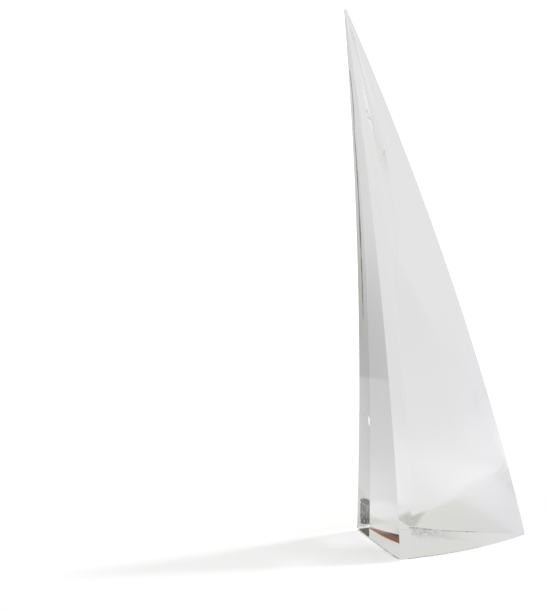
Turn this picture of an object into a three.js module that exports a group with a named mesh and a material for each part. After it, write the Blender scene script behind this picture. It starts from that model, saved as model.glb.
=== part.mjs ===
// A tall glass spire: one block of clear optical glass, cut and polished to four faces that lean and bow
// towards a blunt tip. It stands on three low, clear bumper feet, each held by a disc of clear adhesive.
// Millimetres, +Z up. The origin is on the standing plane, under the middle of the object's box.

import * as THREE from 'three';

// Base outline of the block, seen from above
const RIGHT_FACE_WIDTH = 142;      // front corner to right corner
const LEFT_FACE_WIDTH = 101;       // front corner to left corner
const BACK_LEFT_FACE_WIDTH = 40;   // left corner to back corner
const FRONT_CORNER_ANGLE = 78.4;   // degrees, between the left and right faces
const LEFT_CORNER_ANGLE = 86;      // degrees, between the left and back left faces
const TURN = 32.6;                 // degrees, from +X to the right face's base line

// Height of the block, and where its tip lies beyond the left corner
const GLASS_HEIGHT = 485.5;
const TIP_LEFT = 13.9;
const TIP_BACK = 8.9;
const TIP_WIDTH = 2.6;             // the blunt tip, along the right face

// How far each long edge bows at mid height, to the right (X) and to the back (Y)
const LEFT_EDGE_BOW_X = 6.5;
const LEFT_EDGE_BOW_Y = -2.1;
const FRONT_EDGE_BOW_X = 6.8;
const FRONT_EDGE_BOW_Y = -4.1;
const RIGHT_EDGE_BOW_X = 12.2;
const RIGHT_EDGE_BOW_Y = -19.2;
const BACK_EDGE_BOW_X = 14.1;
const BACK_EDGE_BOW_Y = 5.3;

// How far the two front faces swell outwards at the base; the swell fades to nothing at the tip
const RIGHT_FACE_SWELL = 9.2;
const LEFT_FACE_SWELL = 1.2;

// Ground bevel round the underside, as wide as it is high
const BASE_BEVEL = 0.8;

// Bumper feet and their adhesive discs
const FOOT_DIAMETER = 10;
const FOOT_HEIGHT = 1.2;
const FOOT_ROUND = 0.7;            // rounding of the lower rim
const FOOT_INSET_FRONT = 19;       // from the front corner to the foot's centre, along the base
const FOOT_INSET_LEFT = 15;
const FOOT_INSET_RIGHT = 26;
const ADHESIVE_DIAMETER = 9;
const ADHESIVE_THICKNESS = 0.2;

// Facets
const RISE_STEPS = 32;
const RIGHT_FACE_STEPS = 14;
const LEFT_FACE_STEPS = 5;
const BACK_FACE_STEPS = 6;
const ROUND_STEPS = 32;
const RIM_STEPS = 4;

const GLASS_BASE = FOOT_HEIGHT + ADHESIVE_THICKNESS;

function along(start, degrees, distance) {
  const bearing = THREE.MathUtils.degToRad(degrees);
  return new THREE.Vector2(Math.cos(bearing), Math.sin(bearing)).multiplyScalar(distance).add(start);
}

// The four corners of the base, from the front corner, which starts at the origin
function baseCorners() {
  const front = new THREE.Vector2();
  const right = along(front, TURN, RIGHT_FACE_WIDTH);
  const left = along(front, TURN + FRONT_CORNER_ANGLE, LEFT_FACE_WIDTH);
  const leftToFront = TURN + FRONT_CORNER_ANGLE + 180;
  const back = along(left, leftToFront + LEFT_CORNER_ANGLE, BACK_LEFT_FACE_WIDTH);
  return { front, right, left, back };
}

const CORNERS = baseCorners();
const MIDDLE = new THREE.Vector2();
for (const corner of Object.values(CORNERS)) MIDDLE.addScaledVector(corner, 1 / 4);
const TIP = CORNERS.left.clone().add(new THREE.Vector2(-TIP_LEFT, TIP_BACK));
const TIP_SHRINK = TIP_WIDTH / RIGHT_FACE_WIDTH;

const BOWS = {
  left: new THREE.Vector2(LEFT_EDGE_BOW_X, LEFT_EDGE_BOW_Y),
  front: new THREE.Vector2(FRONT_EDGE_BOW_X, FRONT_EDGE_BOW_Y),
  right: new THREE.Vector2(RIGHT_EDGE_BOW_X, RIGHT_EDGE_BOW_Y),
  back: new THREE.Vector2(BACK_EDGE_BOW_X, BACK_EDGE_BOW_Y),
};

// The faces in order round the block, counter-clockwise from above
const FACES = [
  { from: 'left', to: 'front', swell: LEFT_FACE_SWELL, steps: LEFT_FACE_STEPS },
  { from: 'front', to: 'right', swell: RIGHT_FACE_SWELL, steps: RIGHT_FACE_STEPS },
  { from: 'right', to: 'back', swell: 0, steps: BACK_FACE_STEPS },
  { from: 'back', to: 'left', swell: 0, steps: BACK_FACE_STEPS },
];

// A long edge runs from its base corner to the same corner of the tip, bowed as a parabola.
// The rise is 0 at the base and 1 at the tip.
function edgePoint(name, rise) {
  const corner = CORNERS[name];
  const tipCorner = TIP.clone().addScaledVector(corner.clone().sub(MIDDLE), TIP_SHRINK);
  return corner.clone().lerp(tipCorner, rise).addScaledVector(BOWS[name], 4 * rise * (1 - rise));
}

// A face is ruled between its two edges and swells outwards across its width
function facePoint(face, across, rise) {
  const base = CORNERS[face.to].clone().sub(CORNERS[face.from]);
  const outwards = new THREE.Vector2(base.y, -base.x).normalize();
  const swell = face.swell * 4 * across * (1 - across) * (1 - rise);
  const point = edgePoint(face.from, rise).lerp(edgePoint(face.to, rise), across);
  return point.addScaledVector(outwards, swell);
}

function outline(rise) {
  const points = [];
  for (const face of FACES) {
    for (let step = 0; step < face.steps; step += 1) {
      points.push(facePoint(face, step / face.steps, rise));
    }
  }
  return points;
}

// The outline drawn in by an even distance, with mitred corners
function drawnIn(points, distance) {
  const sideNormal = (from, to) => new THREE.Vector2(to.y - from.y, from.x - to.x).normalize();
  return points.map((point, i) => {
    const before = sideNormal(points.at(i - 1), point);
    const after = sideNormal(point, points[(i + 1) % points.length]);
    const mitre = before.clone().add(after).divideScalar(1 + before.dot(after));
    return point.clone().addScaledVector(mitre, -distance);
  });
}

// The block is a stack of rings: the underside's edge, the top of the bevel, and so on up to the small flat
// of the tip
function spireRings() {
  const bevelRise = BASE_BEVEL / GLASS_HEIGHT;
  const rings = [{ rise: 0, points: drawnIn(outline(0), BASE_BEVEL) }];
  for (let level = 0; level <= RISE_STEPS; level += 1) {
    const rise = THREE.MathUtils.lerp(bevelRise, 1, level / RISE_STEPS);
    rings.push({ rise, points: outline(rise) });
  }
  return rings;
}

function spireGeometry() {
  const positions = [];
  const triangles = [];
  const rings = spireRings();
  for (const { rise, points } of rings) {
    for (const point of points) positions.push(point.x, point.y, GLASS_BASE + rise * GLASS_HEIGHT);
  }
  const count = rings[0].points.length;
  const top = (rings.length - 1) * count;
  const underside = rings.length * count;
  positions.push(MIDDLE.x, MIDDLE.y, GLASS_BASE);
  positions.push(TIP.x, TIP.y, GLASS_BASE + GLASS_HEIGHT);
  for (let i = 0; i < count; i += 1) {
    const next = (i + 1) % count;
    for (let lower = 0; lower < top; lower += count) {
      const upper = lower + count;
      triangles.push(lower + i, lower + next, upper + next);
      triangles.push(lower + i, upper + next, upper + i);
    }
    triangles.push(underside, next, i);
    triangles.push(underside + 1, top + i, top + next);
  }
  const geometry = new THREE.BufferGeometry();
  geometry.setAttribute('position', new THREE.Float32BufferAttribute(positions, 3));
  geometry.setIndex(triangles);
  geometry.computeVertexNormals();
  return geometry;
}

// A foot is a low round pad with its lower rim rounded; its flat top takes the adhesive
function footGeometry() {
  const radius = FOOT_DIAMETER / 2;
  const profile = [new THREE.Vector2(0, 0)];
  for (let step = 0; step <= RIM_STEPS; step += 1) {
    const angle = (step / RIM_STEPS) * (Math.PI / 2);
    const x = radius - FOOT_ROUND + FOOT_ROUND * Math.sin(angle);
    profile.push(new THREE.Vector2(x, FOOT_ROUND - FOOT_ROUND * Math.cos(angle)));
  }
  profile.push(new THREE.Vector2(radius, FOOT_HEIGHT), new THREE.Vector2(0, FOOT_HEIGHT));
  return new THREE.LatheGeometry(profile, ROUND_STEPS).rotateX(Math.PI / 2);
}

function adhesiveGeometry() {
  const radius = ADHESIVE_DIAMETER / 2;
  const geometry = new THREE.CylinderGeometry(radius, radius, ADHESIVE_THICKNESS, ROUND_STEPS);
  return geometry.rotateX(Math.PI / 2).translate(0, 0, ADHESIVE_THICKNESS / 2);
}

const glass = new THREE.MeshStandardMaterial({ color: 0xe4e8e5, roughness: 0.02, metalness: 0 });
const polyurethane = new THREE.MeshStandardMaterial({ color: 0xe9eae6, roughness: 0.35, metalness: 0 });
const acrylic = new THREE.MeshStandardMaterial({ color: 0xf1f0ea, roughness: 0.5, metalness: 0 });

function addPiece(group, name, geometry, material, place = new THREE.Vector2(), height = 0) {
  const piece = new THREE.Mesh(geometry, material);
  piece.name = name;
  piece.position.set(place.x, place.y, height);
  group.add(piece);
}

const sculpture = new THREE.Group();
addPiece(sculpture, 'glass_spire', spireGeometry(), glass);

const FOOT_INSETS = { front: FOOT_INSET_FRONT, left: FOOT_INSET_LEFT, right: FOOT_INSET_RIGHT };
for (const [name, inset] of Object.entries(FOOT_INSETS)) {
  const inwards = MIDDLE.clone().sub(CORNERS[name]).normalize();
  const place = CORNERS[name].clone().addScaledVector(inwards, inset);
  addPiece(sculpture, `foot_${name}`, footGeometry(), polyurethane, place);
  addPiece(sculpture, `adhesive_${name}`, adhesiveGeometry(), acrylic, place, FOOT_HEIGHT);
}

// The middle of the object's box goes over the origin
const boxMiddle = new THREE.Box3().setFromObject(sculpture).getCenter(new THREE.Vector3());
sculpture.position.set(-boxMiddle.x, -boxMiddle.y, 0);

export default sculpture;
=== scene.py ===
import math
import random

import bmesh
import bpy
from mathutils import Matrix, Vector


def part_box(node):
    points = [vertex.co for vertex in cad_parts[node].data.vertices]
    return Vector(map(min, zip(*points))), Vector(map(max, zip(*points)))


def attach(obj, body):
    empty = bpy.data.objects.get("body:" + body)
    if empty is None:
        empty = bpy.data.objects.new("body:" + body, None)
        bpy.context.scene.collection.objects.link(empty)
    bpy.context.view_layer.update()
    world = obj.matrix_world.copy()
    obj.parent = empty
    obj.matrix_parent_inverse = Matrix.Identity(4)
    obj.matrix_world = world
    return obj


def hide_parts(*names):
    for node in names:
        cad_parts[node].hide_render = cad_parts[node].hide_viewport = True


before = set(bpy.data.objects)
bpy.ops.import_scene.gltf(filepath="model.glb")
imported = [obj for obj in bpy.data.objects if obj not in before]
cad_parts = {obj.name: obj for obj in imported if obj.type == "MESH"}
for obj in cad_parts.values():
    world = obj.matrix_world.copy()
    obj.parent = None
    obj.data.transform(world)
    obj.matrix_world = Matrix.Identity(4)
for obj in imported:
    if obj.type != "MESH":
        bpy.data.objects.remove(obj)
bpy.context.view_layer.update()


# The block: one piece of clear optical glass, sawn, ground and polished to four bowed faces that lean
# towards a blunt tip. The long edges have a fine ground arris and the underside a ground bevel; the back
# edge has lost a row of small flakes, and the right corner a chip.

MM = 0.001
RIGHT_FACE_WIDTH = 142
LEFT_FACE_WIDTH = 101
BACK_LEFT_FACE_WIDTH = 40
FRONT_CORNER_ANGLE = 78.4
LEFT_CORNER_ANGLE = 86
TURN = 32.6               # of the right face's base line, from +X
GLASS_HEIGHT = 485.5
TIP_LEFT = 13.9           # where the tip lies beyond the left corner
TIP_BACK = 8.9
TIP_WIDTH = 2.6
TIP_BEVEL = 0.3
TIP_FLAT = 0.75           # the flat's share of the tip's width
EDGE_BOWS = {             # of the long edges, at mid height
    "left": Vector((6.5, -2.1)),
    "front": Vector((6.8, -4.1)),
    "right": Vector((12.2, -19.2)),
    "back": Vector((14.1, 5.3)),
}
RIGHT_FACE_SWELL = 9.2
LEFT_FACE_SWELL = 1.2
BASE_BEVELS = {"left": 0.8, "front": 0.8, "right": 0.05, "back": 0.15}
ARRISES = {"left": 0.08, "front": 0.4, "right": 0.4, "back": 0.4}      # cut back from each long edge
ARRIS_SHARE = 0.12        # most that the arris takes of a face near the tip
FOOT_INSET_FRONT = 19     # from the front corner to the front foot's centre


def along(start, degrees, distance):
    bearing = math.radians(degrees)
    return start + distance * Vector((math.cos(bearing), math.sin(bearing)))


left_face_bearing = TURN + FRONT_CORNER_ANGLE
front_corner = Vector((0, 0))
left_corner = along(front_corner, left_face_bearing, LEFT_FACE_WIDTH)
CORNERS = {
    "left": left_corner,
    "front": front_corner,
    "right": along(front_corner, TURN, RIGHT_FACE_WIDTH),
    "back": along(left_corner, left_face_bearing + 180 + LEFT_CORNER_ANGLE, BACK_LEFT_FACE_WIDTH),
}
BASE_MIDDLE = sum(CORNERS.values(), Vector((0, 0))) / len(CORNERS)
TIP = left_corner + Vector((-TIP_LEFT, TIP_BACK))
TIP_SHRINK = TIP_WIDTH / RIGHT_FACE_WIDTH


def evenly(start, end, steps):
    return [start + (end - start) * step / steps for step in range(steps)]


# Where the rows of points stand across each face, as shares of its width. They are close together at the
# right corner, along the flakes of the back edge and at the back corner.
RIGHT_CORNER_ROWS = 0.03
FLAKE_ROWS = 0.56
BACK_CORNER_ROWS = 0.1
left_face_rows = evenly(0, 1, steps=40) + [1]
right_face_rows = evenly(0, 1 - RIGHT_CORNER_ROWS, steps=56)
right_face_rows += evenly(1 - RIGHT_CORNER_ROWS, 1, steps=10) + [1]
back_face_rows = evenly(0, RIGHT_CORNER_ROWS, steps=10) + evenly(RIGHT_CORNER_ROWS, FLAKE_ROWS, steps=26)
back_face_rows += evenly(FLAKE_ROWS, 1, steps=130) + [1]
back_left_face_rows = evenly(0, BACK_CORNER_ROWS, steps=10) + evenly(BACK_CORNER_ROWS, 1, steps=14) + [1]
FACES = [
    ("left", "front", LEFT_FACE_SWELL, left_face_rows),
    ("front", "right", RIGHT_FACE_SWELL, right_face_rows),
    ("right", "back", 0, back_face_rows),
    ("back", "left", 0, back_left_face_rows),
]


def edge_point(name, rise):
    corner = CORNERS[name]
    tip_corner = TIP + (corner - BASE_MIDDLE) * TIP_SHRINK
    return corner.lerp(tip_corner, rise) + EDGE_BOWS[name] * 4 * rise * (1 - rise)


def outwards(start, end):
    run = CORNERS[end] - CORNERS[start]
    return Vector((run.y, -run.x)).normalized()


def face_point(start, end, swell, across, rise):
    chord = edge_point(start, rise).lerp(edge_point(end, rise), across)
    return chord + outwards(start, end) * swell * 4 * across * (1 - across) * (1 - rise)


def bevel_at(start, end, place):
    return BASE_BEVELS[start] + (BASE_BEVELS[end] - BASE_BEVELS[start]) * place


# Up to the flake zone's top, a level lies higher where the bevel is higher
FLAKE_ZONE = 5.0


def outline(height):
    points = []
    for start, end, swell, places in FACES:
        rise = height / GLASS_HEIGHT
        width = (edge_point(end, rise) - edge_point(start, rise)).length
        start_cut = min(ARRISES[start] / width, ARRIS_SHARE)
        end_cut = min(ARRISES[end] / width, ARRIS_SHARE)
        for place in places:
            level = height + bevel_at(start, end, place) * max(0, 1 - height / FLAKE_ZONE)
            across = start_cut + place * (1 - start_cut - end_cut)
            point = face_point(start, end, swell, across, level / GLASS_HEIGHT)
            points.append(Vector((point.x, point.y, level)))
    return points


# The outline of the underside, drawn in by the bevel along each face, with the corners mitred
def underside():
    points = []
    for start, end, swell, places in FACES:
        row = [face_point(start, end, swell, place, 0) for place in places]
        run = (row[-1] - row[0]).normalized()
        inwards = -outwards(start, end)
        low = BASE_BEVELS[start]
        high = (row[-1] - row[0]).length - BASE_BEVELS[end]
        for point, place in zip(row, places):
            reach = (point - row[0]).dot(run)
            slide = min(max(reach, low), high) - reach
            drawn_in = point + inwards * bevel_at(start, end, place) + run * slide
            points.append(drawn_in.to_3d())
    return points


# Rings on the underside, which reach in only along the back edge, where the flakes lie
RING_STEP = 0.05
RING_REACHES = [1.8, 1.2, 0.7, 0.35, 0.0]
FLAKE_RUN = 50.0
FLAKE_FADE = 12.0
back_run = (CORNERS["right"] - CORNERS["back"]).normalized()
back_outwards = outwards("right", "back")
face_ends = [sum(len(face[3]) for face in FACES[:number + 1]) for number in range(len(FACES))]


def in_flake_run(point):
    run = (point.to_2d() - CORNERS["back"]).dot(back_run)
    return max(0, min(1, 1 + run / FLAKE_FADE, 1 + (FLAKE_RUN - run) / FLAKE_FADE))


def ring(number):
    points = []
    for row, point in enumerate(underside()):
        share = in_flake_run(point) if row >= face_ends[1] else 0
        inset = (BASE_MIDDLE - point.to_2d()).normalized() * RING_STEP * (len(RING_REACHES) - 1 - number)
        inset -= back_outwards * RING_REACHES[number] * share
        points.append(point + inset.to_3d())
    return points


CLOSE_LEVELS = 2.0        # the levels lie closest together up to here
heights = evenly(0, CLOSE_LEVELS, steps=8) + evenly(CLOSE_LEVELS, FLAKE_ZONE, steps=6)
heights += evenly(FLAKE_ZONE, GLASS_HEIGHT - TIP_BEVEL, steps=130) + [GLASS_HEIGHT - TIP_BEVEL]
rings = [ring(number) for number in range(len(RING_REACHES))]
levels = rings + [outline(height) for height in heights]
tip_middle = Vector((TIP.x, TIP.y, GLASS_HEIGHT))
levels.append([tip_middle.lerp(point, TIP_FLAT) for point in outline(GLASS_HEIGHT)])

# The flakes are small round scoops in the back edge, and the chip is a larger one at the right corner
FLAKES = 44
FLAKE_SEED = 11
FLAKE_JITTER = 0.4        # of the step from one flake to the next
FLAKE_RADII = (0.4, 0.9)
FLAKE_DEPTHS = (0.02, 0.15)
CHIP_RADIUS = 2.2
CHIP_OFFSET = 0.2         # from the corner out to the scoop's centre
CHIP_DIP = 0.6            # how steeply that centre lies below the corner
DOWN = Vector((0, 0, -1))
flake_away = (back_outwards.to_3d() + DOWN).normalized()
flake_draw = random.Random(FLAKE_SEED)
flakes = []
for number in range(FLAKES):
    step = number + flake_draw.uniform(-FLAKE_JITTER, FLAKE_JITTER)
    edge = CORNERS["back"] + back_run * FLAKE_RUN * step / FLAKES
    radius = flake_draw.uniform(*FLAKE_RADII)
    depth = flake_draw.uniform(*FLAKE_DEPTHS)
    flakes.append((edge.to_3d() + flake_away * (radius - depth), radius))
right_corner_outwards = (CORNERS["right"] - BASE_MIDDLE).normalized().to_3d()
chip_away = (right_corner_outwards + DOWN * CHIP_DIP).normalized()
flakes.append((CORNERS["right"].to_3d() + chip_away * CHIP_OFFSET, CHIP_RADIUS))


def flaked(point):
    for centre, radius in flakes:
        from_centre = point - centre
        if from_centre.length < radius:
            point = centre + from_centre.normalized() * radius
    return point


# The front foot's place in the frame gives the block's place
foot_low, foot_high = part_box("foot_front")
foot_centre = (foot_low + foot_high) / 2 / MM
to_middle = (BASE_MIDDLE - front_corner).normalized()
shift = foot_centre.to_2d() - front_corner - to_middle * FOOT_INSET_FRONT
block_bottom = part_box("glass_spire")[0].z / MM
block_place = Vector((shift.x, shift.y, block_bottom))


def new_piece(name, bm):
    mesh = bpy.data.meshes.new(name)
    bm.to_mesh(mesh)
    bm.free()
    piece = bpy.data.objects.new(name, mesh)
    bpy.context.scene.collection.objects.link(piece)
    return piece


# How far each patch of the mesh is ground: coarsely on part of the bevel under the right face and in the
# chip at the right corner, and finely on the rest of the bevel, the wider arrises and the tip. The coarse
# patches also take the glass's dark tone, which is painted shade.
COARSE_GROUND = 1.0
FINE_GROUND = 0.5
COARSE_START = 0.05
COARSE_END = 0.58
CHIP_START = 0.976
CHIP_END = 0.993
CHIP_LEVELS = 5
BEVEL_LEVEL = len(rings) - 1
TIP_LEVEL = len(levels) - 2
row_places = [(face[0], place) for face in FACES for place in face[3]]
arris_rows = [face_end - 1 for face_end in face_ends[:-1]]


def ground_share(level, row):
    face, place = row_places[row]
    at_chip = face == "front" and CHIP_START < place < CHIP_END
    if at_chip and BEVEL_LEVEL <= level < BEVEL_LEVEL + CHIP_LEVELS:
        return COARSE_GROUND
    if level == BEVEL_LEVEL and face == "front" and COARSE_START < place < COARSE_END:
        return COARSE_GROUND
    if level in (BEVEL_LEVEL, TIP_LEVEL) or (level > BEVEL_LEVEL and row in arris_rows):
        return FINE_GROUND
    return 0.0


SHARP_ANGLE = 14
bm = bmesh.new()
ground_layer = bm.faces.layers.float.new("ground")
levels = [[flaked(point) for point in level] for level in levels]
for level in levels[:len(rings)]:
    for point in level:
        if in_flake_run(point) == 0 or level is levels[0]:
            point.z = 0
rows = [[bm.verts.new((point + block_place) * MM) for point in level] for level in levels]
for level, (lower, upper) in enumerate(zip(rows, rows[1:])):
    for i in range(len(lower)):
        j = (i + 1) % len(lower)
        side = bm.faces.new((lower[i], lower[j], upper[j], upper[i]))
        side[ground_layer] = ground_share(level, i)
bm.faces.new(reversed(rows[0]))
tip_cap = bm.faces.new(rows[-1])
tip_cap[ground_layer] = FINE_GROUND
bmesh.ops.recalc_face_normals(bm, faces=bm.faces)
block = new_piece("glass_block", bm)
block.data.shade_smooth()
block.data.set_sharp_from_angle(angle=math.radians(SHARP_ANGLE))


class Wire:
    """A socket of a material, with Python's operators for the maths on what it carries."""

    def __init__(self, socket):
        self.socket = socket

    @staticmethod
    def node(tree, kind, settings, sockets, out=0):
        made = tree.nodes.new(kind)
        for name, value in settings.items():
            if name == "stops":
                ramp = made.color_ramp.elements
                while len(ramp) < len(value):
                    ramp.new(1.0)
                for stop, (place, colour) in zip(ramp, value):
                    stop.position = place
                    stop.color = colour
            else:
                setattr(made, name, value)
        for name, value in sockets.items():
            if isinstance(value, Wire):
                tree.links.new(value.socket, made.inputs[name])
            else:
                made.inputs[name].default_value = value
        return Wire(made.outputs[out]) if made.outputs else None

    def maths(self, operation, first, second):
        tree = self.socket.id_data
        return Wire.node(tree, "ShaderNodeMath", {"operation": operation}, {0: first, 1: second})

    def __add__(self, other):
        return self.maths("ADD", self, other)

    def __radd__(self, other):
        return self.maths("ADD", other, self)

    def __sub__(self, other):
        return self.maths("SUBTRACT", self, other)

    def __rsub__(self, other):
        return self.maths("SUBTRACT", other, self)

    def __mul__(self, other):
        return self.maths("MULTIPLY", self, other)

    def __rmul__(self, other):
        return self.maths("MULTIPLY", other, self)


def new_material(name):
    """An empty material, its nodes, and the place on the piece that its patterns follow."""
    material = bpy.data.materials.new(name)
    material.use_nodes = True
    tree = material.node_tree
    tree.nodes.clear()
    return material, tree, Wire.node(tree, "ShaderNodeTexCoord", {}, {}, "Object")


def between(tree, value, low, high):
    """How far a value has gone from low to high, from 0 to 1, with soft ends."""
    return Wire.node(tree, "ShaderNodeMapRange", {"interpolation_type": "SMOOTHSTEP"},
                     {"Value": value, "From Min": low, "From Max": high})


def noise(tree, place, scale, detail):
    """A cloudy pattern from 0 to 1."""
    return Wire.node(tree, "ShaderNodeTexNoise", {}, {
        "Vector": place, "Scale": scale, "Detail": detail}, "Fac")


def mixed(tree, share, first, second):
    """The first colour where the share is 0, the second where it is 1."""
    return Wire.node(tree, "ShaderNodeMix", {"data_type": "RGBA"}, {0: share, 6: first, 7: second}, 2)


def bumps(tree, height, distance, strength):
    """The surface's normal, tilted by the slopes of a height."""
    return Wire.node(tree, "ShaderNodeBump", {}, {
        "Strength": strength, "Distance": distance, "Height": height}, "Normal")


GLASS_IOR = 1.52
GLASS_TINT = (0.84, 0.84, 0.84, 1.0)      # about what a metre of it lets through
GLASS_DENSITY = 1.0
GLASS_TONE = (1.0, 1.0, 1.0, 1.0)
# Painted shade: the coarsely ground patches, the bevel under the right face and the chip, take this dark tone
GROUND_SHADE_TONE = (0.15, 0.15, 0.14, 1.0)
POLISHED_ROUGHNESS = 0.002
HAZE_ROUGHNESS = 0.008    # what the faint haze adds
GROUND_ROUGHNESS = 0.3
GRAIN_ROUGHNESS = 0.1     # what the grain adds where the glass is ground
HAZE_SCALE = 14.0
HAZE_START = 0.5
HAZE_FULL = 0.75
GRAIN_SCALE = 2600.0
GRAIN_DEPTH = 0.00003

glass, tree, place = new_material("polished_optical_glass")
ground = Wire.node(tree, "ShaderNodeAttribute", {"attribute_name": "ground"}, {}, "Fac")
haze = between(tree, noise(tree, place, HAZE_SCALE, detail=4.0), HAZE_START, HAZE_FULL)
grain = noise(tree, place, GRAIN_SCALE, detail=2.0)
roughness = (POLISHED_ROUGHNESS + haze * HAZE_ROUGHNESS
             + ground * (GROUND_ROUGHNESS + grain * GRAIN_ROUGHNESS))
tone = mixed(tree, between(tree, ground, FINE_GROUND, COARSE_GROUND), GLASS_TONE, GROUND_SHADE_TONE)
surface = Wire.node(tree, "ShaderNodeBsdfPrincipled", {}, {
    "Base Color": tone, "Roughness": roughness, "IOR": GLASS_IOR, "Transmission Weight": 1.0,
    "Normal": bumps(tree, grain * ground, GRAIN_DEPTH, strength=0.4)})
body = Wire.node(tree, "ShaderNodeVolumeAbsorption", {}, {"Color": GLASS_TINT, "Density": GLASS_DENSITY})
Wire.node(tree, "ShaderNodeOutputMaterial", {}, {"Surface": surface, "Volume": body})
block.data.materials.append(glass)
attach(block, "root")
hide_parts("glass_spire")


# The three adhesive discs: clear acrylic transfer adhesive, die-cut, which holds each foot to the polished
# underside. Pressing the foot home leaves a soft bulge round the rim.

ADHESIVE_DIAMETER = 9
ADHESIVE_THICKNESS = 0.2
OPTICAL_GAP = 0.03        # air between the disc and the glass, so the underside keeps its mirror
FOOT_HEIGHT = 1.2
ROUND_STEPS = 96
RIM_STEPS = 8
RIM_SHARP_ANGLE = 35
ACRYLIC_TONE = (0.95, 0.95, 0.91, 1.0)
ACRYLIC_IOR = 1.47
ACRYLIC_CLEARNESS = 0.9
ACRYLIC_ROUGHNESS = 0.12
BUBBLE_ROUGHNESS = 0.25   # what the fine bubbles add
BUBBLE_SCALE = 1400.0
FILM_SCALE = 420.0
FILM_DEPTH = 0.00005


def turned(name, profile, centre):
    """A solid of revolution from its profile of (radius, height), which starts and ends on the axis."""
    bm = bmesh.new()
    rings = []
    for radius, height in profile:
        if radius == 0:
            rings.append([bm.verts.new((centre + Vector((0, 0, height))) * MM)])
            continue
        turn = [2 * math.pi * step / ROUND_STEPS for step in range(ROUND_STEPS)]
        points = [Vector((radius * math.cos(angle), radius * math.sin(angle), height)) for angle in turn]
        rings.append([bm.verts.new((centre + point) * MM) for point in points])
    for lower, upper in zip(rings, rings[1:]):
        for i in range(ROUND_STEPS):
            j = (i + 1) % ROUND_STEPS
            corners = [lower[i % len(lower)], lower[j % len(lower)],
                       upper[j % len(upper)], upper[i % len(upper)]]
            bm.faces.new(list(dict.fromkeys(corners)))
    bmesh.ops.recalc_face_normals(bm, faces=bm.faces)
    piece = new_piece(name, bm)
    piece.data.shade_smooth()
    piece.data.set_sharp_from_angle(angle=math.radians(RIM_SHARP_ANGLE))
    return piece


def rim_arc(radius, middle, round_radius, start, end):
    """Points of a round rim, from one angle to another above the horizontal."""
    arc = []
    for step in range(RIM_STEPS + 1):
        angle = math.radians(start + (end - start) * step / RIM_STEPS)
        arc.append((radius + round_radius * math.cos(angle), middle + round_radius * math.sin(angle)))
    return arc


acrylic, tree, place = new_material("clear_acrylic_adhesive")
bubbles = Wire.node(tree, "ShaderNodeTexVoronoi", {}, {"Vector": place, "Scale": BUBBLE_SCALE}, "Distance")
film = noise(tree, place, FILM_SCALE, detail=3.0)
surface = Wire.node(tree, "ShaderNodeBsdfPrincipled", {}, {
    "Base Color": ACRYLIC_TONE, "Roughness": ACRYLIC_ROUGHNESS + bubbles * BUBBLE_ROUGHNESS,
    "IOR": ACRYLIC_IOR, "Transmission Weight": ACRYLIC_CLEARNESS,
    "Normal": bumps(tree, film, FILM_DEPTH, strength=0.5)})
Wire.node(tree, "ShaderNodeOutputMaterial", {}, {"Surface": surface})

CORNER_NAMES = ("front", "left", "right")
for name in CORNER_NAMES:
    low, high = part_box(f"adhesive_{name}")
    centre = (low + high) / 2 / MM
    centre.z = 0
    bottom = FOOT_HEIGHT
    top = FOOT_HEIGHT + ADHESIVE_THICKNESS - OPTICAL_GAP
    bulge = (top - bottom) / 2
    rim = rim_arc(ADHESIVE_DIAMETER / 2 - bulge, (bottom + top) / 2, bulge, start=-90, end=90)
    disc = turned(f"adhesive_disc_{name}", [(0, bottom)] + rim + [(0, top)], centre)
    disc.data.materials.append(acrylic)
    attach(disc, "root")
    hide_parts(f"adhesive_{name}")


# The three feet: low bumpers of clear cast polyurethane, poured as drops, so the lower rim is round and
# the sole a little domed. Each sticks to its adhesive disc with its flat back.

FOOT_DIAMETER = 10
FOOT_ROUND = 0.7
SOLE_DOME = 0.06
SOLE_STEP = 0.5           # where the sole has a point, between its middle and the rim
BACK_EDGE = 0.08
CLEAN_TONE = (0.93, 0.93, 0.89, 1.0)
DUSTY_TONE = (0.84, 0.84, 0.79, 1.0)
POLYURETHANE_IOR = 1.49
POLYURETHANE_CLEARNESS = 0.85
POLYURETHANE_ROUGHNESS = 0.2
CAST_ROUGHNESS = 0.2      # what the cast skin adds
CAST_SCALE = 900.0
CAST_DEPTH = 0.00004
DUST_SCALE = 260.0
DUST_START = 0.45
DUST_FULL = 0.75

polyurethane, tree, place = new_material("clear_cast_polyurethane")
cast = noise(tree, place, CAST_SCALE, detail=5.0)
dust = between(tree, noise(tree, place, DUST_SCALE, detail=2.0), DUST_START, DUST_FULL)
surface = Wire.node(tree, "ShaderNodeBsdfPrincipled", {}, {
    "Base Color": mixed(tree, dust, CLEAN_TONE, DUSTY_TONE),
    "Roughness": POLYURETHANE_ROUGHNESS + cast * CAST_ROUGHNESS,
    "IOR": POLYURETHANE_IOR, "Transmission Weight": POLYURETHANE_CLEARNESS,
    "Normal": bumps(tree, cast, CAST_DEPTH, strength=0.6)})
Wire.node(tree, "ShaderNodeOutputMaterial", {}, {"Surface": surface})

for name in CORNER_NAMES:
    low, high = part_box(f"foot_{name}")
    centre = (low + high) / 2 / MM
    centre.z = 0
    radius = FOOT_DIAMETER / 2
    sole = [(0, 0), ((radius - FOOT_ROUND) * SOLE_STEP, SOLE_DOME * SOLE_STEP ** 2)]
    rim = rim_arc(radius - FOOT_ROUND, FOOT_ROUND + SOLE_DOME, FOOT_ROUND, start=-90, end=0)
    back = [(radius, FOOT_HEIGHT - BACK_EDGE), (radius - BACK_EDGE, FOOT_HEIGHT), (0, FOOT_HEIGHT)]
    foot = turned(f"bumper_foot_{name}", sole + rim + back, centre)
    foot.data.materials.append(polyurethane)
    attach(foot, "root")
    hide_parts(f"foot_{name}")


# The floor: a wide sheet of plain pale paper that the block stands on. The camera sees it white, apart from
# the shadow and the thin gap under the block. The glass sees it a little below white, with painted light and
# painted shade round the block's foot in place of what the clear block would throw there.

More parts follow.
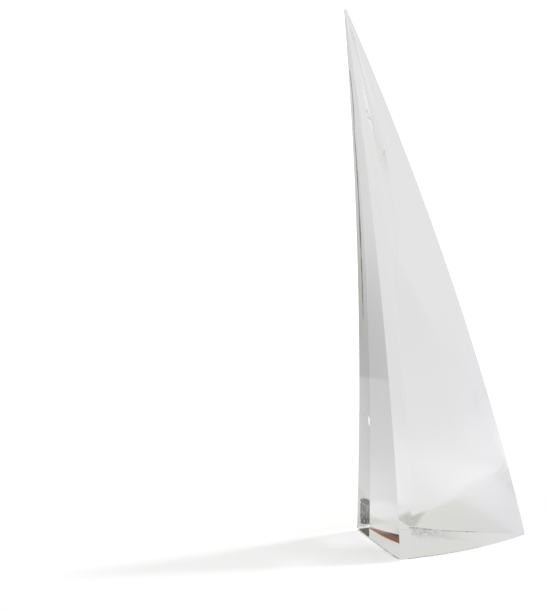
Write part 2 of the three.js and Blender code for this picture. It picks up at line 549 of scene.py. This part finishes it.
FLOOR_HALF = 30.0
FLOOR_TONE = (0.82, 0.82, 0.82, 1.0)

# The block's base on the floor: three of its corners, and the bearings of its sides from straight back
FRONT_ON_FLOOR = (-0.034, -0.055, 0.0)
RIGHT_ON_FLOOR = (0.085, 0.021, 0.0)
BACK_ON_FLOOR = (-0.032, 0.051, 0.0)
LEFT_BEARING = 159
RIGHT_BEARING = 57.4
BACK_BEARING = -76
BACK_LEFT_BEARING = -107
RIGHT_SIDE_SWELL = 0.009


def sheet(name, corners):
    bm = bmesh.new()
    bm.faces.new([bm.verts.new(corner) for corner in corners])
    made = new_piece(name, bm)
    return made


def vector_maths(tree, operation, values, out):
    return Wire.node(tree, "ShaderNodeVectorMath", {"operation": operation}, dict(enumerate(values)), out)


def outside(tree, place, centre, inner, outer):
    """0 within the inner radius of a centre on the floor, 1 beyond the outer one."""
    return between(tree, vector_maths(tree, "DISTANCE", [place, centre], "Value"), inner, outer)


def spot(tree, place, centre, inner, outer):
    """1 within the inner radius of a centre on the floor, 0 beyond the outer one."""
    return 1 - outside(tree, place, centre, inner, outer)


def right_of(tree, place, start, bearing, soft):
    """1 on the right of a line on the floor, 0 on its left, seen along its bearing from straight back."""
    angle = math.radians(bearing)
    to_right = (math.cos(angle), -math.sin(angle), 0.0)
    from_start = vector_maths(tree, "SUBTRACT", [place, start], "Vector")
    return between(tree, vector_maths(tree, "DOT_PRODUCT", [from_start, to_right], "Value"), -soft, soft)


def beyond(tree, place, start, bearing, distance, soft):
    """1 on the right of a line that lies a distance to the right of a start, 0 on its left."""
    angle = math.radians(bearing)
    moved = (start[0] + distance * math.cos(angle), start[1] - distance * math.sin(angle), 0.0)
    return right_of(tree, place, moved, bearing, soft)


def towards(tree, place, bearing):
    """The cosine between a place's direction from the block and a bearing from straight back."""
    angle = math.radians(bearing)
    heading = vector_maths(tree, "NORMALIZE", [place], "Vector")
    return vector_maths(tree, "DOT_PRODUCT", [heading, (math.sin(angle), math.cos(angle), 0.0)], "Value")


def footprint(tree, place, margin, soft):
    """1 under the block, 0 away from it, with soft edges a margin further out."""
    sides = [
        (FRONT_ON_FLOOR, LEFT_BEARING, margin),
        (FRONT_ON_FLOOR, RIGHT_BEARING, margin + RIGHT_SIDE_SWELL),
        (RIGHT_ON_FLOOR, BACK_BEARING, margin),
        (BACK_ON_FLOOR, BACK_LEFT_BEARING, margin),
    ]
    share = None
    for corner, bearing, reach in sides:
        inside = 1 - beyond(tree, place, corner, bearing, reach, soft)
        share = inside if share is None else share * inside
    return share


def ray_is(tree, kind):
    return Wire.node(tree, "ShaderNodeLightPath", {}, {}, f"Is {kind} Ray")


def glow(tree, colour):
    return Wire.node(tree, "ShaderNodeEmission", {}, {"Color": colour, "Strength": 1.0})


floor = sheet("floor", [(-FLOOR_HALF, -FLOOR_HALF, 0), (FLOOR_HALF, -FLOOR_HALF, 0),
                        (FLOOR_HALF, FLOOR_HALF, 0), (-FLOOR_HALF, FLOOR_HALF, 0)])
paper, tree, place = new_material("pale_floor_paper")

# Seen by the camera: what takes the lit floor to white, and painted light in place of what the clear block
# lets through: at its foot, into the near part of its shadow, along the shadow's front rim and into the gap
# under the right face. The gap under the left face and a streak beside it get painted shade. A spot is a
# centre and two radii.
WHITE_TOP_UP = 0.25
FOOT_TOP_UP = 0.18
CAUSTIC_TOP_UP = 0.12
CAUSTIC_SPOT = ((-0.078, 0.010, 0.0), 0.005, 0.042)
RIM_TOP_UP = 0.06
RIM_SPOT = ((-0.125, -0.068, 0.0), 0.0, 0.040)
RIGHT_GAP_TOP_UP = 0.26
RIGHT_GAP_ARC = ((-0.1196, 0.2099, 0.0), 0.2716, 0.2736)
LEFT_GAP_DIM = 0.28
LEFT_STREAK_DIM = 0.11
LEFT_STREAK = (-0.0455, -0.0325, 0.0)

right_gap = (outside(tree, place, *RIGHT_GAP_ARC)
             * (1 - beyond(tree, place, FRONT_ON_FLOOR, LEFT_BEARING, distance=0.0, soft=0.001)))
left_gap = (footprint(tree, place, margin=0.0, soft=0.0005)
            * beyond(tree, place, FRONT_ON_FLOOR, LEFT_BEARING, distance=-0.003, soft=0.0006)
            * outside(tree, place, FRONT_ON_FLOOR, inner=0.003, outer=0.009)
            * outside(tree, place, LEFT_STREAK, inner=0.003, outer=0.010))
left_streak = (spot(tree, place, LEFT_STREAK, inner=0.006, outer=0.017)
               * (1 - beyond(tree, place, FRONT_ON_FLOOR, LEFT_BEARING, distance=0.0035, soft=0.0025)))
top_up = (WHITE_TOP_UP
          + FOOT_TOP_UP * footprint(tree, place, margin=0.003, soft=0.010)
          + CAUSTIC_TOP_UP * spot(tree, place, *CAUSTIC_SPOT)
          + RIM_TOP_UP * spot(tree, place, *RIM_SPOT)
          + RIGHT_GAP_TOP_UP * right_gap
          - LEFT_GAP_DIM * left_gap
          - LEFT_STREAK_DIM * left_streak)
lit = Wire.node(tree, "ShaderNodeBsdfPrincipled", {}, {
    "Base Color": FLOOR_TONE, "Roughness": 1.0, "Specular IOR Level": 0.0,
    "Emission Color": ray_is(tree, "Camera") * top_up, "Emission Strength": 1.0})

# Seen through the glass: painted shade for the block's own shade behind it, a painted beam of light beside
# that shade, and a painted contact shadow with a dotted rim along the back edge. A line is a start, a
# bearing and its softness.
SHADE_LINE = ((-0.040, 0.084, 0.0), 30, 0.003)
SHADE_ARC = ((0.336, 0.428, 0.0), 0.478, 0.486)
SHADE_SPOT = ((0.02, 0.05, 0.0), 0.10, 0.14)
BEAM_LEFT_LINE = ((-0.040, 0.124, 0.0), -29, 0.006)
BEAM_RIGHT_LINE = ((-0.030, 0.100, 0.0), 0, 0.007)
BEAM_SPOT = ((-0.04, 0.13, 0.0), 0.06, 0.14)
CONTACT_BEARING = -69
CONTACT_START = (-0.0076, 0.0488, 0.0)
CONTACT_END_LINE = (BACK_ON_FLOOR, -17, 0.0005)
CONTACT_SPOT = (BACK_ON_FLOOR, 0.045, 0.068)
CONTACT_NEAR = 0.002
CONTACT_FAR = 0.0044
CONTACT_MARGIN = 0.0005
CONTACT_SOFT = 0.0005
DOTTED_WIDTH = 0.0026
DOT_SCALE = 480.0
DOT_START = 0.50
DOT_FULL = 0.57


def past_contact(tree, place, distance):
    return (beyond(tree, place, CONTACT_START, CONTACT_BEARING, distance, CONTACT_SOFT)
            * beyond(tree, place, RIGHT_ON_FLOOR, BACK_BEARING, CONTACT_FAR + distance, CONTACT_SOFT))


block_shade = (right_of(tree, place, *SHADE_LINE)
               * (1 - footprint(tree, place, margin=0.0, soft=0.002))
               * outside(tree, place, *SHADE_ARC)
               * spot(tree, place, *SHADE_SPOT))
beam = (right_of(tree, place, *BEAM_LEFT_LINE)
        * (1 - right_of(tree, place, *BEAM_RIGHT_LINE))
        * spot(tree, place, *BEAM_SPOT)
        * (1 - block_shade))
contact_run = (right_of(tree, place, *CONTACT_END_LINE)
               * spot(tree, place, *CONTACT_SPOT)
               * beyond(tree, place, RIGHT_ON_FLOOR, BACK_BEARING, CONTACT_NEAR, CONTACT_SOFT))
contact = (1 - past_contact(tree, place, CONTACT_MARGIN)) * contact_run
dots = between(tree, noise(tree, place, DOT_SCALE, detail=2.0), DOT_START, DOT_FULL)
dotted_rim = (past_contact(tree, place, -DOTTED_WIDTH) - past_contact(tree, place, 0.0)) * contact_run * dots

# The floor's level in the glass, with painted light behind the block and round its foot, and painted shade
# far out and in front
GLASS_VIEW = 0.785
BACK_LIGHT = 0.095
BACK_SPOT = ((-0.005, 0.200, 0.0), 0.0, 0.17)
NEAR_LIGHT = 0.170
NEAR_SPOT = ((-0.045, -0.025, 0.0), 0.0, 0.107)
FAR_LEFT_DIM = 0.050
FAR_LEFT_SPOT = ((-0.365, 0.443, 0.0), 0.0, 0.31)
FAR_RIGHT_DIM = 0.410
FAR_RIGHT_SPOT = ((1.025, 0.170, 0.0), 0.40, 1.15)
FRONT_DIM = 0.220
FRONT_SPOT = ((0.176, -0.412, 0.0), 0.0, 0.39)
SHADE_DIM = 0.068
CONTACT_DIM = 0.130
DOTTED_DIM = 0.420
BEAM_LIGHT = 0.060
NEUTRAL = (1.0, 1.0, 1.0, 1.0)
WARM = (1.0, 1.0, 0.94, 1.0)
SHADE_WARMTH = 0.6

front_shade = spot(tree, place, *FRONT_SPOT)
through_glass = (GLASS_VIEW
                 + BACK_LIGHT * spot(tree, place, *BACK_SPOT)
                 + NEAR_LIGHT * spot(tree, place, *NEAR_SPOT)
                 - FAR_LEFT_DIM * spot(tree, place, *FAR_LEFT_SPOT)
                 - FAR_RIGHT_DIM * spot(tree, place, *FAR_RIGHT_SPOT)
                 - FRONT_DIM * front_shade
                 - SHADE_DIM * block_shade
                 - CONTACT_DIM * contact
                 - DOTTED_DIM * dotted_rim
                 + BEAM_LIGHT * beam)
# The painted shade in front of and behind the block is tinted warm
warmth = mixed(tree, front_shade + block_shade * SHADE_WARMTH, NEUTRAL, WARM)
through_colour = Wire.node(tree, "ShaderNodeMix", {"data_type": "RGBA", "blend_type": "MULTIPLY"}, {
    0: 1.0, 6: through_glass, 7: warmth}, 2)

# Mirrored by the glass, with painted light and shade: dim far out and under the walls, pale with a
# window's light on the right, and a painted shadow beside the left face, with painted light there where the
# block would throw it
NEAR_MIRRORED = (0.55, 0.55, 0.55, 1.0)
FAR_MIRRORED = (0.10, 0.10, 0.10, 1.0)
NEAR_CIRCLE = ((0.0, 0.0, 0.0), 0.633, 0.657)
SIDE_MIRRORED = (0.40, 0.40, 0.40, 1.0)
SIDE_BEARING = 120
SIDE_LIMITS = (-0.1, 0.4)
WINDOW_TONE = (1.0, 1.0, 1.4, 1.0)
WINDOW_BEARING = 85
WINDOW_LIMITS = (0.75, 1.0)
SHADED_MIRRORED = (0.28, 0.28, 0.28, 1.0)
SHADED_SPOT = ((-0.08, 0.03, 0.0), 0.03, 0.06)
CAUSTIC_MIRRORED = (0.95, 0.95, 0.95, 1.0)
CAUSTIC_MIRRORED_SPOT = ((-0.098, 0.027, 0.0), 0.010, 0.024)
LIT_MIRRORED = (1.05, 1.05, 1.05, 1.0)
LIT_MIRRORED_SPOT = ((-0.140, 0.070, 0.0), 0.016, 0.042)


def window_share(tree, place):
    return between(tree, towards(tree, place, WINDOW_BEARING), *WINDOW_LIMITS)


mirrored = mixed(tree, outside(tree, place, *NEAR_CIRCLE), NEAR_MIRRORED, FAR_MIRRORED)
side_share = between(tree, towards(tree, place, SIDE_BEARING), *SIDE_LIMITS)
mirrored = mixed(tree, side_share, mirrored, SIDE_MIRRORED)
mirrored = mixed(tree, window_share(tree, place), mirrored, WINDOW_TONE)
mirrored = mixed(tree, spot(tree, place, *SHADED_SPOT), mirrored, SHADED_MIRRORED)
mirrored = mixed(tree, spot(tree, place, *CAUSTIC_MIRRORED_SPOT), mirrored, CAUSTIC_MIRRORED)
mirrored = mixed(tree, spot(tree, place, *LIT_MIRRORED_SPOT), mirrored, LIT_MIRRORED)

surface = Wire.node(tree, "ShaderNodeMixShader", {}, {
    0: ray_is(tree, "Glossy"), 1: lit, 2: glow(tree, mirrored)})
surface = Wire.node(tree, "ShaderNodeMixShader", {}, {
    0: ray_is(tree, "Transmission"), 1: surface, 2: glow(tree, through_colour)})
Wire.node(tree, "ShaderNodeOutputMaterial", {}, {"Surface": surface})
floor.data.materials.append(paper)


# The room: plain pale walls and ceiling, paler on the right, dim where the walls meet the floor, with a cool
# window low on the right. The camera itself sees it as white.

WALL_TONE = (0.72, 0.72, 0.70, 1.0)
RIGHT_WALL_TONE = (1.0, 1.0, 1.0, 1.0)
RIGHT_WALL_BEARING = 110
RIGHT_WALL_LIMITS = (0.5, 0.85)
CEILING_TONE = (0.81, 0.81, 0.81, 1.0)
CAMERA_WHITE = (1.0, 1.0, 1.0, 1.0)
SKIRTING_TOP = 14         # degrees up from the floor
CEILING_START = 30
CEILING_FULL = 45

world = bpy.data.worlds.new("pale_room")
bpy.context.scene.world = world
world.use_nodes = True
tree = world.node_tree
tree.nodes.clear()
direction = Wire.node(tree, "ShaderNodeTexCoord", {}, {}, "Generated")
height = Wire.node(tree, "ShaderNodeSeparateXYZ", {}, {"Vector": direction}, "Z")


def climbed(low, high):
    return between(tree, height, math.sin(math.radians(low)), math.sin(math.radians(high)))


skirting = mixed(tree, window_share(tree, direction), SIDE_MIRRORED, WINDOW_TONE)
right_wall_share = between(tree, towards(tree, direction, RIGHT_WALL_BEARING), *RIGHT_WALL_LIMITS)
wall = mixed(tree, right_wall_share, WALL_TONE, RIGHT_WALL_TONE)
room = mixed(tree, climbed(0, SKIRTING_TOP), skirting, wall)
room = mixed(tree, climbed(CEILING_START, CEILING_FULL), room, CEILING_TONE)
room = mixed(tree, ray_is(tree, "Camera"), room, CAMERA_WHITE)
surround = Wire.node(tree, "ShaderNodeBackground", {}, {"Color": room, "Strength": 1.0})
Wire.node(tree, "ShaderNodeOutputWorld", {}, {"Surface": surround})


# The cards: panels that only the glass sees, as in any photograph of clear glass. Four hang face down on the
# right, where the polished underside mirrors them; three are low by the right face and behind the back edge.
# A fine dark wire hangs in front, and on the right a small glowing card, which lights nothing, gives the
# glass a painted glint.


def streaks_alone(tree, place, streaks):
    return streaks


def whole(tree, place):
    return 1.0


def card(name, corners, streak_scale, stops, shade=streaks_alone, share=whole):
    """A panel that glows with streaks of its colours where its share is 1, and is clear from behind."""
    made = sheet(name, [Vector(corner) * MM for corner in corners])
    made.visible_camera = False
    made.visible_diffuse = False
    made.visible_glossy = False
    made.visible_shadow = False
    material, tree, place = new_material(name)
    streak_place = Wire.node(tree, "ShaderNodeMapping", {}, {"Vector": place, "Scale": streak_scale})
    streaks = noise(tree, streak_place, scale=1.0, detail=3.0)
    colour = Wire.node(tree, "ShaderNodeValToRGB", {"stops": stops}, {
        "Fac": shade(tree, place, streaks)}, "Color")
    clear = Wire.node(tree, "ShaderNodeBsdfTransparent", {}, {})
    behind = Wire.node(tree, "ShaderNodeNewGeometry", {}, {}, "Backfacing")
    shown = (1 - behind) * share(tree, place)
    surface = Wire.node(tree, "ShaderNodeMixShader", {}, {0: shown, 1: clear, 2: glow(tree, colour)})
    Wire.node(tree, "ShaderNodeOutputMaterial", {}, {"Surface": surface})
    made.data.materials.append(material)


def flat(height, corners):
    return [(x, y, height) for x, y in corners]


CARD_HEIGHT = 65

# The tan card has a painted highlight along its near edge, behind the block, and darkens away from it
TAN_EDGE = 168.4
TAN_REACH = 24
TAN_CORNERS = [(230, TAN_EDGE), (60, TAN_EDGE), (60, 260), (230, 260)]
TAN_STREAKS = (25.0, 500.0, 1.0)
TAN_STREAK_SHARE = 0.40
# The first stops are the painted highlight along the near edge
TAN_STOPS = [
    (0.0, (0.86, 0.68, 0.54, 1.0)),
    (0.07, (0.60, 0.37, 0.23, 1.0)),
    (0.15, (0.15, 0.055, 0.022, 1.0)),
    (0.40, (0.20, 0.090, 0.048, 1.0)),
    (0.68, (0.13, 0.060, 0.034, 1.0)),
    (1.0, (0.05, 0.022, 0.016, 1.0)),
]


def tan_shade(tree, place, streaks):
    depth = Wire.node(tree, "ShaderNodeSeparateXYZ", {}, {"Vector": place}, "Y")
    darkening = (depth - TAN_EDGE * MM) * (1 / (TAN_REACH * MM))
    return darkening + streaks * TAN_STREAK_SHARE - TAN_STREAK_SHARE / 2


card("tan_card", flat(CARD_HEIGHT, TAN_CORNERS), TAN_STREAKS, TAN_STOPS, tan_shade)

# The charcoal card has a grey one just above it, which shows round two of its sides
CHARCOAL_CORNERS = [(244, -9.5), (346, 4), (440, -10), (440, -50), (336, -30)]
CHARCOAL_STREAKS = (30.0, 420.0, 1.0)
CHARCOAL_STOPS = [
    (0.30, (0.02, 0.02, 0.02, 1.0)),
    (0.48, (0.10, 0.10, 0.09, 1.0)),
    (0.58, (0.16, 0.16, 0.15, 1.0)),
    (0.75, (0.50, 0.50, 0.46, 1.0)),
]
GREY_HEIGHT = 66
GREY_CORNERS = [(206, -6), (206, 4), (330, 20), (362, 4), (336, -30), (300, -24)]
GREY_STREAKS = (40.0, 200.0, 1.0)
GREY_STOPS = [(0.3, (0.57, 0.56, 0.53, 1.0)), (0.7, (0.68, 0.67, 0.63, 1.0))]
card("charcoal_card", flat(CARD_HEIGHT, CHARCOAL_CORNERS), CHARCOAL_STREAKS, CHARCOAL_STOPS)
card("grey_card", flat(GREY_HEIGHT, GREY_CORNERS), GREY_STREAKS, GREY_STOPS)

OLIVE_CORNERS = [(150, 25), (205, 25), (205, -30), (150, -30)]
OLIVE_STREAKS = (70.0, 70.0, 1.0)
OLIVE_STOPS = [(0.3, (0.03, 0.03, 0.02, 1.0)), (0.7, (0.12, 0.115, 0.08, 1.0))]
card("olive_card", flat(CARD_HEIGHT, OLIVE_CORNERS), OLIVE_STREAKS, OLIVE_STOPS)

# A second charcoal card lies on the floor by the right face
FLOOR_CARD_HEIGHT = 0.3
FLOOR_CARD_CORNERS = [(62.5, -0.5), (72, 0.8), (101.5, 10.3), (96, 24), (70, 12)]
FLOOR_CARD_STREAKS = (160.0, 420.0, 1.0)
card("charcoal_floor_card", flat(FLOOR_CARD_HEIGHT, FLOOR_CARD_CORNERS), FLOOR_CARD_STREAKS, CHARCOAL_STOPS)

# The corner card is low behind the back corner, and shows only between three lines
CORNER_CARD_HEIGHT = 5
CORNER_CARD_CORNERS = [(-50, 48), (-20, 48), (-20, 95), (-50, 95)]
CORNER_CARD_STREAKS = (300.0, 120.0, 1.0)
CORNER_CARD_STOPS = [(0.3, (0.50, 0.50, 0.49, 1.0)), (0.7, (0.57, 0.57, 0.56, 1.0))]
CORNER_LEFT_LINE = ((-0.0349, 0.0492, 0.0), -24.8, 0.0006)
CORNER_RIGHT_LINE = ((-0.0280, 0.0492, 0.0), -7, 0.0022)
CORNER_BACK_LINE = ((-0.0402, 0.0690, 0.0), 32.7, 0.0035)


def corner_share(tree, place):
    return (right_of(tree, place, *CORNER_LEFT_LINE)
            * (1 - right_of(tree, place, *CORNER_RIGHT_LINE))
            * right_of(tree, place, *CORNER_BACK_LINE))


card("corner_card", flat(CORNER_CARD_HEIGHT, CORNER_CARD_CORNERS), CORNER_CARD_STREAKS, CORNER_CARD_STOPS,
     share=corner_share)

# The edge card leans behind the back edge, faces down to the right, and fades out upwards and backwards; the
# underside mirrors it along that edge
EDGE_CARD_CORNERS = [(-60, 60), (-60, 200), (-20, 200), (-28, 60)]
EDGE_CARD_LEAN = Vector((1.1, 0.5))
EDGE_CARD_START = Vector((-39.2, 72.5))
EDGE_CARD_HEIGHT = 11.9
EDGE_CARD_STREAKS = (300.0, 150.0, 300.0)
EDGE_CARD_STOPS = [(0.38, (0.47, 0.47, 0.46, 1.0)), (0.60, (0.66, 0.66, 0.65, 1.0))]
EDGE_CARD_UP = (-0.1215, -0.485, 1.0)
EDGE_CARD_UP_FADE = (-0.0165, -0.0085)
EDGE_CARD_BACK = (0.243, 0.97, 0.0)
EDGE_CARD_BACK_FADE = (0.085, 0.150)


def edge_share(tree, place):
    up = vector_maths(tree, "DOT_PRODUCT", [place, EDGE_CARD_UP], "Value")
    back = vector_maths(tree, "DOT_PRODUCT", [place, EDGE_CARD_BACK], "Value")
    return (1 - between(tree, up, *EDGE_CARD_UP_FADE)) * (1 - between(tree, back, *EDGE_CARD_BACK_FADE))


edge_corners = []
for x, y in EDGE_CARD_CORNERS:
    edge_corners.append((x, y, EDGE_CARD_HEIGHT + EDGE_CARD_LEAN.dot(Vector((x, y)) - EDGE_CARD_START)))
card("edge_card", edge_corners, EDGE_CARD_STREAKS, EDGE_CARD_STOPS, share=edge_share)

# The wire bends in an upright plane in front of the right face, and is finer lower down
WIRE_PLANE = -90
WIRE_TOP = Vector((-68.5, 358))
WIRE_BEND = Vector((-46, 312))
WIRE_FOOT = Vector((83, 145))
WIRE_BOW = 4.3
WIRE_SKEW = 0.55          # how far the bow is greater towards the foot
WIRE_TOP_WIDTH = 2.4
WIRE_BEND_WIDTH = 1.0
WIRE_FOOT_WIDTH = 0.26
WIRE_STREAKS = (60.0, 1.0, 60.0)
WIRE_STOPS = [(0.35, (0.14, 0.14, 0.14, 1.0)), (0.65, (0.38, 0.38, 0.38, 1.0))]
wire_run = (WIRE_FOOT - WIRE_BEND).normalized()
wire_aside = Vector((wire_run.y, -wire_run.x))
wire_line = [(WIRE_TOP, WIRE_TOP_WIDTH)]
for step in evenly(0, 1, steps=20) + [1]:
    bow = WIRE_BOW * 4 * step * (1 - step) * (1 + WIRE_SKEW * (step - 0.5))
    point = WIRE_BEND.lerp(WIRE_FOOT, step) + wire_aside * bow
    wire_line.append((point, WIRE_FOOT_WIDTH + (WIRE_BEND_WIDTH - WIRE_FOOT_WIDTH) * (1 - step) ** 2))
wire_edge = [point - wire_aside * width / 2 for point, width in wire_line]
wire_edge += [point + wire_aside * width / 2 for point, width in reversed(wire_line)]
card("dark_wire", [(point.x, WIRE_PLANE, point.y) for point in wire_edge], WIRE_STREAKS, WIRE_STOPS)

# A small glowing card on the right, which lights nothing: the glass shows it as a painted glint
GLINT_CORNERS = [(115, -27.3, 69.4), (115, -26.2, 70.4), (115, -20.0, 64.3), (115, -21.0, 63.3)]
GLINT_STREAKS = (1.0, 1.0, 1.0)
GLINT_STOPS = [(0.0, (1.15, 1.15, 1.15, 1.0)), (1.0, (1.15, 1.15, 1.15, 1.0))]
card("glint_card", GLINT_CORNERS, GLINT_STREAKS, GLINT_STOPS)


# The light: one large soft key lamp, high on the right and a little behind the block, which throws the shadow
# to the left. The glass itself doesn't show the lamp.

KEY_STRENGTH = 0.66
KEY_SPREAD = 5
KEY_BEARING = 61.5        # from straight behind towards the right
KEY_HEIGHT = 56.8         # degrees up from the floor
key_data = bpy.data.lights.new("key", "SUN")
key_data.energy = KEY_STRENGTH
key_data.angle = math.radians(KEY_SPREAD)
key = bpy.data.objects.new("key", key_data)
bpy.context.scene.collection.objects.link(key)
bearing = math.radians(KEY_BEARING)
climb = math.radians(KEY_HEIGHT)
to_key = Vector((math.sin(bearing) * math.cos(climb), math.cos(bearing) * math.cos(climb), math.sin(climb)))
key.rotation_euler = to_key.to_track_quat("Z", "Y").to_euler()
key.visible_glossy = False
key.visible_transmission = False


# The camera: a long lens about 2.4 metres in front of the block, level from side to side, that looks down on
# it a little.

CAMERA_PLACE = (-0.1491, -2.3509, 0.7559)
CAMERA_DIP = 12.73
CAMERA_LENS = 157.38
CAMERA_SENSOR = 36
CAMERA_REACH = 100
GLASS_BOUNCES = 32        # clear glass needs many, or its inner reflections end in black
camera_data = bpy.data.cameras.new("camera")
camera_data.sensor_width = CAMERA_SENSOR
camera_data.lens = CAMERA_LENS
camera_data.clip_end = CAMERA_REACH
camera = bpy.data.objects.new("camera", camera_data)
camera.location = CAMERA_PLACE
camera.rotation_euler = (math.radians(90 - CAMERA_DIP), 0, 0)
scene = bpy.context.scene
scene.collection.objects.link(camera)
scene.camera = camera
scene.view_settings.view_transform = "Standard"
scene.cycles.max_bounces = GLASS_BOUNCES
scene.cycles.glossy_bounces = GLASS_BOUNCES
scene.cycles.transmission_bounces = GLASS_BOUNCES
